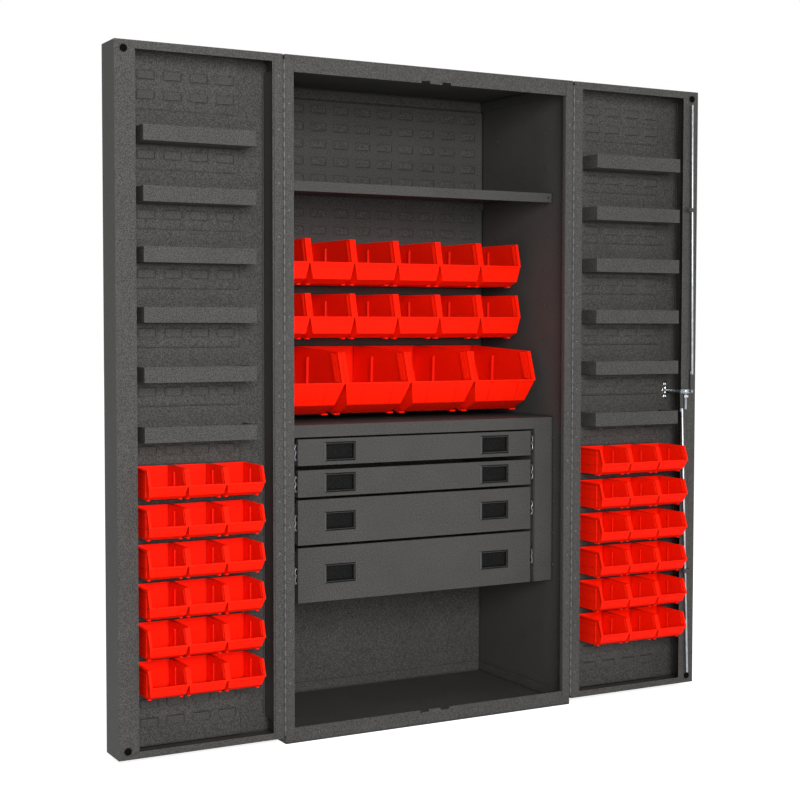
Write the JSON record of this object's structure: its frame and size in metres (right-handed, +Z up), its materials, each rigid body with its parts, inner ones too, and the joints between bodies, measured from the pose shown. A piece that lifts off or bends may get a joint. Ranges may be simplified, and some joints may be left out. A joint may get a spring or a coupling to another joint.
{
  "type": "bin storage cabinet",
  "caption": "Free-standing steel storage cabinet with hung plastic bins, drawers, an adjustable shelf and two deep box doors that carry trays and bins.",
  "frame": {"origin": "middle of the footprint of the cabinet body, on the floor", "axes": "+Z up, +Y towards the back of the cabinet, +X to the right of someone facing it"},
  "size_m": [1.8358, 0.5653, 1.8288],
  "materials": {
    "grey_paint": "textured dark grey powder coat",
    "red_plastic": "moulded red polypropylene with a soft sheen",
    "zinc": "zinc-plated steel",
    "plated_lock": "plated cast metal",
    "black_plastic": "black moulded plastic with a fine grain",
    "black_rubber": "black rubber"
  },
  "bodies": {
    "cabinet": {"left_side_panel": "grey_paint", "right_side_panel": "grey_paint", "top_panel": "grey_paint", "floor_panel": "grey_paint", "back_panel": "grey_paint", "back_louver_panel": "grey_paint", "adjustable_shelf": "grey_paint", "shelf_clips": "grey_paint", "drawer_unit_top": "grey_paint", "drawer_unit_left_wall": "grey_paint", "drawer_unit_right_wall": "grey_paint", "left_front_filler": "grey_paint", "right_front_filler": "grey_paint", "slide_cabinet_members": "zinc", "upper_bin_row": "red_plastic", "middle_bin_row": "red_plastic", "left_hinge_cabinet_leaf": "zinc", "right_hinge_cabinet_leaf": "zinc", "hinge_pins": "zinc"},
    "left_door": {"left_door_shell": "grey_paint", "left_door_stiffener": "grey_paint", "left_door_louver_panel": "grey_paint", "left_door_trays": "grey_paint", "left_door_bins": "red_plastic", "left_door_bumpers": "black_rubber", "left_hinge_door_leaf": "zinc"},
    "right_door": {"right_door_shell": "grey_paint", "right_door_stiffener": "grey_paint", "right_door_louver_panel": "grey_paint", "right_door_trays": "grey_paint", "right_door_bins": "red_plastic", "right_door_bumpers": "black_rubber", "right_hinge_door_leaf": "zinc", "lock_rod_guides": "grey_paint", "lock_plate": "plated_lock", "lock_bolts": "zinc"},
    "lock": {"lock_spindle_and_cam": "zinc", "lock_handle": "plated_lock"},
    "upper_rod": {"upper_lock_rod": "zinc"},
    "lower_rod": {"lower_lock_rod": "zinc"},
    "drawer_one": {"drawer_one": "grey_paint", "drawer_one_pulls": "black_plastic", "drawer_one_slide_drawer_member": "zinc"},
    "drawer_one_middle_slides": {"drawer_one_slide_middle_member": "zinc"},
    "drawer_two": {"drawer_two": "grey_paint", "drawer_two_pulls": "black_plastic", "drawer_two_slide_drawer_member": "zinc"},
    "drawer_two_middle_slides": {"drawer_two_slide_middle_member": "zinc"},
    "drawer_three": {"drawer_three": "grey_paint", "drawer_three_pulls": "black_plastic", "drawer_three_slide_drawer_member": "zinc"},
    "drawer_three_middle_slides": {"drawer_three_slide_middle_member": "zinc"},
    "drawer_four": {"drawer_four": "grey_paint", "drawer_four_pulls": "black_plastic", "drawer_four_slide_drawer_member": "zinc"},
    "drawer_four_middle_slides": {"drawer_four_slide_middle_member": "zinc"},
    "large_bin_1": {"large_bin_1": "red_plastic"},
    "large_bin_2": {"large_bin_2": "red_plastic"},
    "large_bin_3": {"large_bin_3": "red_plastic"},
    "large_bin_4": {"large_bin_4": "red_plastic"}
  },
  "joints": [
    {"name": "left_door_hinge", "type": "hinge", "parent": "cabinet", "child": "left_door", "pos_m": [-0.4597, -0.2587, 0.9144], "axis": [0, 0, -1], "range_deg": [-180, 0]},
    {"name": "right_door_hinge", "type": "hinge", "parent": "cabinet", "child": "right_door", "pos_m": [0.4597, -0.2587, 0.9144], "axis": [0, 0, 1], "range_deg": [-180, 0]},
    {"name": "drawer_one_slide", "type": "slide", "parent": "cabinet", "child": "drawer_one", "axis": [0, -1, 0], "range_m": [0, 0.355]},
    {"name": "drawer_one_middle_slide", "type": "slide", "parent": "cabinet", "child": "drawer_one_middle_slides", "axis": [0, -1, 0], "range_m": [0, 0.178]},
    {"name": "drawer_two_slide", "type": "slide", "parent": "cabinet", "child": "drawer_two", "axis": [0, -1, 0], "range_m": [0, 0.355]},
    {"name": "drawer_two_middle_slide", "type": "slide", "parent": "cabinet", "child": "drawer_two_middle_slides", "axis": [0, -1, 0], "range_m": [0, 0.178]},
    {"name": "drawer_three_slide", "type": "slide", "parent": "cabinet", "child": "drawer_three", "axis": [0, -1, 0], "range_m": [0, 0.355]},
    {"name": "drawer_three_middle_slide", "type": "slide", "parent": "cabinet", "child": "drawer_three_middle_slides", "axis": [0, -1, 0], "range_m": [0, 0.178]},
    {"name": "drawer_four_slide", "type": "slide", "parent": "cabinet", "child": "drawer_four", "axis": [0, -1, 0], "range_m": [0, 0.355]},
    {"name": "drawer_four_middle_slide", "type": "slide", "parent": "cabinet", "child": "drawer_four_middle_slides", "axis": [0, -1, 0], "range_m": [0, 0.178]},
    {"name": "large_bin_1_lift", "type": "slide", "parent": "cabinet", "child": "large_bin_1", "axis": [0, 0, 1], "range_m": [0, 0.012]},
    {"name": "large_bin_2_lift", "type": "slide", "parent": "cabinet", "child": "large_bin_2", "axis": [0, 0, 1], "range_m": [0, 0.012]},
    {"name": "large_bin_3_lift", "type": "slide", "parent": "cabinet", "child": "large_bin_3", "axis": [0, 0, 1], "range_m": [0, 0.012]},
    {"name": "large_bin_4_lift", "type": "slide", "parent": "cabinet", "child": "large_bin_4", "axis": [0, 0, 1], "range_m": [0, 0.012]},
    {"name": "lock_turn", "type": "hinge", "parent": "right_door", "child": "lock", "pos_m": [0.8783, -0.1577, 0.918], "axis": [0, -1, 0], "range_deg": [0, 90]},
    {"name": "upper_rod_pivot", "type": "hinge", "parent": "lock", "child": "upper_rod", "pos_m": [0.8983, -0.2666, 0.918], "axis": [0, -1, 0], "range_deg": [-92, 0]},
    {"name": "lower_rod_pivot", "type": "hinge", "parent": "lock", "child": "lower_rod", "pos_m": [0.8583, -0.2666, 0.918], "axis": [0, -1, 0], "range_deg": [-92, 0]}
  ],
  "couplings": [
    {"joint": "drawer_one_middle_slide", "follows": "drawer_one_slide", "ratio": 0.5},
    {"joint": "drawer_two_middle_slide", "follows": "drawer_two_slide", "ratio": 0.5},
    {"joint": "drawer_three_middle_slide", "follows": "drawer_three_slide", "ratio": 0.5},
    {"joint": "drawer_four_middle_slide", "follows": "drawer_four_slide", "ratio": 0.5},
    {"joint": "upper_rod_pivot", "follows": "lock_turn", "ratio": -1.0146},
    {"joint": "lower_rod_pivot", "follows": "lock_turn", "ratio": -1.0147}
  ]
}
